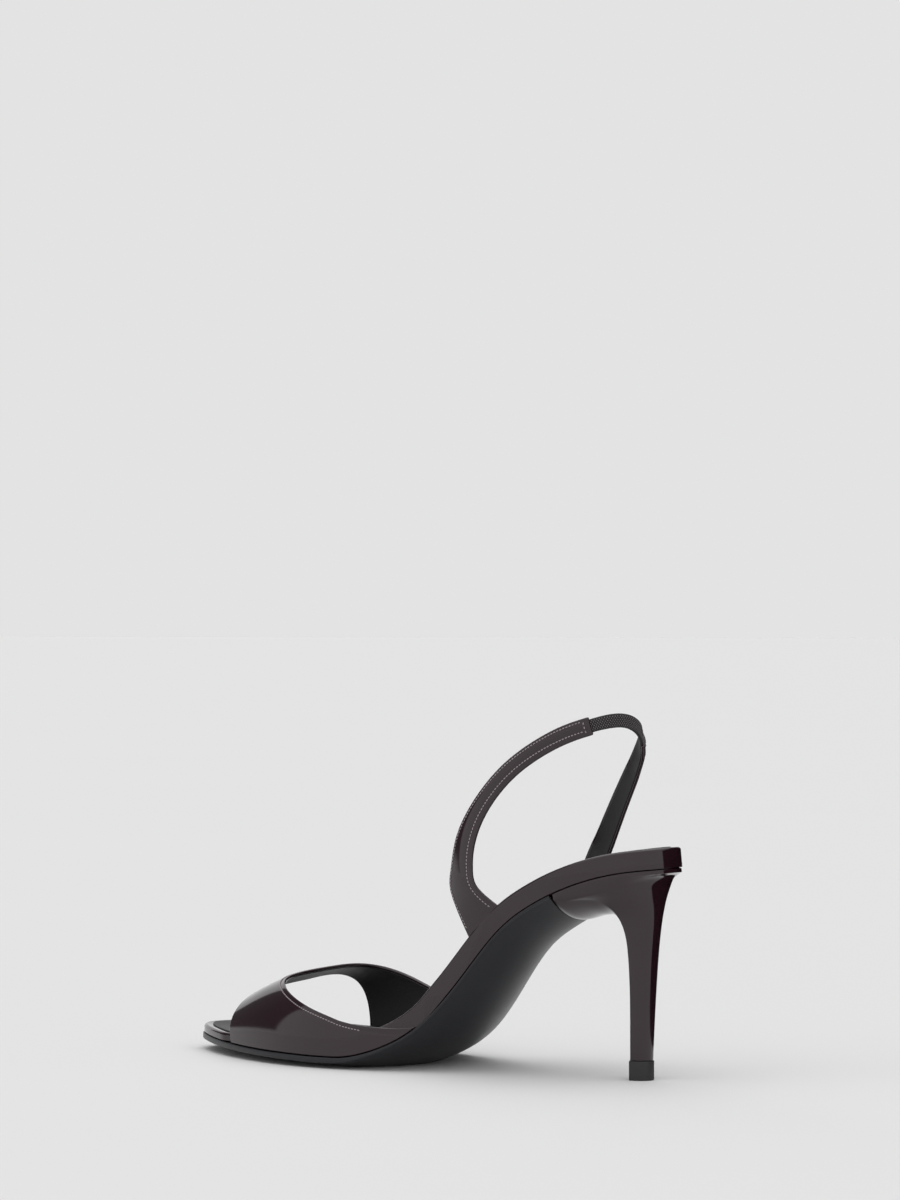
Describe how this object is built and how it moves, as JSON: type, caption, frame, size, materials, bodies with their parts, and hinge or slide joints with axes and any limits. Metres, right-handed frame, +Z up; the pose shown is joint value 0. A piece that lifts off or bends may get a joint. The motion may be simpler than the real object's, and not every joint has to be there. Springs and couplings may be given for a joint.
{
  "type": "slingback sandal",
  "caption": "High-heeled slingback sandal for the left foot: diagonal vamp strap over open toes, elastic sling round the heel, slim tapered heel on a rubber top piece.",
  "frame": {"origin": "on the floor, in the middle of the bounding box; the shoe stands on its tread and heel tip", "axes": "toe towards -Y, heel towards +Y, lateral (outer) side towards +X, +Z up"},
  "size_m": [0.081, 0.2154, 0.1324],
  "materials": {
    "patent_leather": "patent, dark oxblood",
    "sole_leather": "smooth satin, blue-black",
    "lining_leather": "matt, dark grey",
    "elastic": "ribbed woven elastic",
    "rubber": "matt black"
  },
  "bodies": {
    "root": {"outsole": "sole_leather", "footbed": "patent_leather", "sock_lining": "lining_leather", "vamp": "patent_leather", "sling_strap_lateral": "patent_leather", "sling_strap_medial": "patent_leather", "elastic": "elastic", "heel": "patent_leather", "top_lift": "rubber"}
  },
  "joints": []
}
